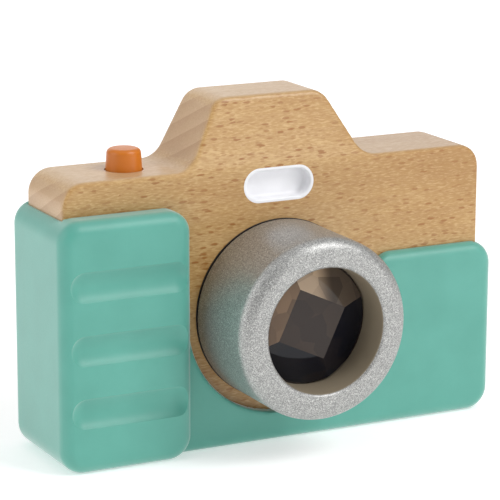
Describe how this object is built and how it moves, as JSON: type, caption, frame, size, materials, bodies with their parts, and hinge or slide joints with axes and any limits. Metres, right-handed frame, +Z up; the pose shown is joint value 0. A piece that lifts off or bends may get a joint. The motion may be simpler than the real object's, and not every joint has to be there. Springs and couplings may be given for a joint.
{
  "type": "toy camera",
  "caption": "Wooden toy camera in a grooved silicone sleeve, with a turning lens barrel, a sprung shutter button, a flash window, an eyepiece and a battery door at the back.",
  "frame": {"origin": "on the flat base of the sleeve, under the middle of the beech block's width and depth", "axes": "+X along the width, away from the grip; -Y out of the lens; +Z up"},
  "size_m": [0.134, 0.0555, 0.0954],
  "materials": {
    "beech": "sanded and oiled, satin",
    "silicone": "matte moulded silicone",
    "orange_plastic": "glossy",
    "silver_paint": "fine-grained metallic silver paint",
    "smoky_acrylic": "polished, tinted brown",
    "clear_acrylic": "polished",
    "black_plastic": "matte",
    "eyepiece_plastic": "fine satin",
    "white_plastic": "glossy",
    "lamp_epoxy": "clear cast",
    "grey_plastic": "fine satin",
    "board_green": "solder mask",
    "capacitor_sleeve": "shrink sleeve",
    "resistor_body": "glazed",
    "speaker_metal": "pressed",
    "wire_insulation": "satin",
    "felt": "pressed felt",
    "spring_steel": "drawn wire",
    "zinc_steel": "zinc plated",
    "cell_steel": "bright",
    "contact_metal": "nickel flash over brass"
  },
  "bodies": {
    "body": {"wood_body": "beech", "silicone_sleeve": "silicone", "button_spring": "spring_steel", "push_switch": "black_plastic", "bearing_bush": "black_plastic", "friction_washer": "felt", "eyepiece_ring": "eyepiece_plastic", "eyepiece_window": "clear_acrylic", "flash_window": "white_plastic", "flash_led": "lamp_epoxy", "led_wires": "wire_insulation", "module_tray": "grey_plastic", "circuit_board": "board_green", "board_screws": "zinc_steel", "sound_chip": "black_plastic", "capacitor": "capacitor_sleeve", "led_resistor": "resistor_body", "speaker": "speaker_metal", "speaker_wires": "wire_insulation", "button_cells": "cell_steel", "battery_spring": "contact_metal", "battery_plate": "contact_metal", "back_cover": "grey_plastic", "back_cover_screws": "zinc_steel"},
    "button": {"shutter_button": "orange_plastic", "switch_plunger": "white_plastic"},
    "lens": {"lens_barrel": "silver_paint", "prism_lens": "smoky_acrylic", "lens_spacer": "black_plastic", "barrel_hub": "black_plastic", "hub_screws": "zinc_steel", "barrel_retainer": "black_plastic", "retainer_screws": "zinc_steel"},
    "door": {"battery_door": "grey_plastic", "battery_door_screws": "zinc_steel"}
  },
  "joints": [
    {"name": "shutter_press", "type": "slide", "parent": "body", "child": "button", "axis": [0, 0, -1], "range_m": [0, 0.0025], "stiffness_N_per_m": 600, "springref_m": -0.001, "deforming": ["button_spring"]},
    {"name": "lens_turn", "type": "hinge", "parent": "body", "child": "lens", "pos_m": [0, 0, 0.037], "axis": [0, -1, 0], "continuous": true},
    {"name": "battery_door_lift", "type": "slide", "parent": "body", "child": "door", "axis": [0, 1, 0], "range_m": [0, 0.015]}
  ]
}
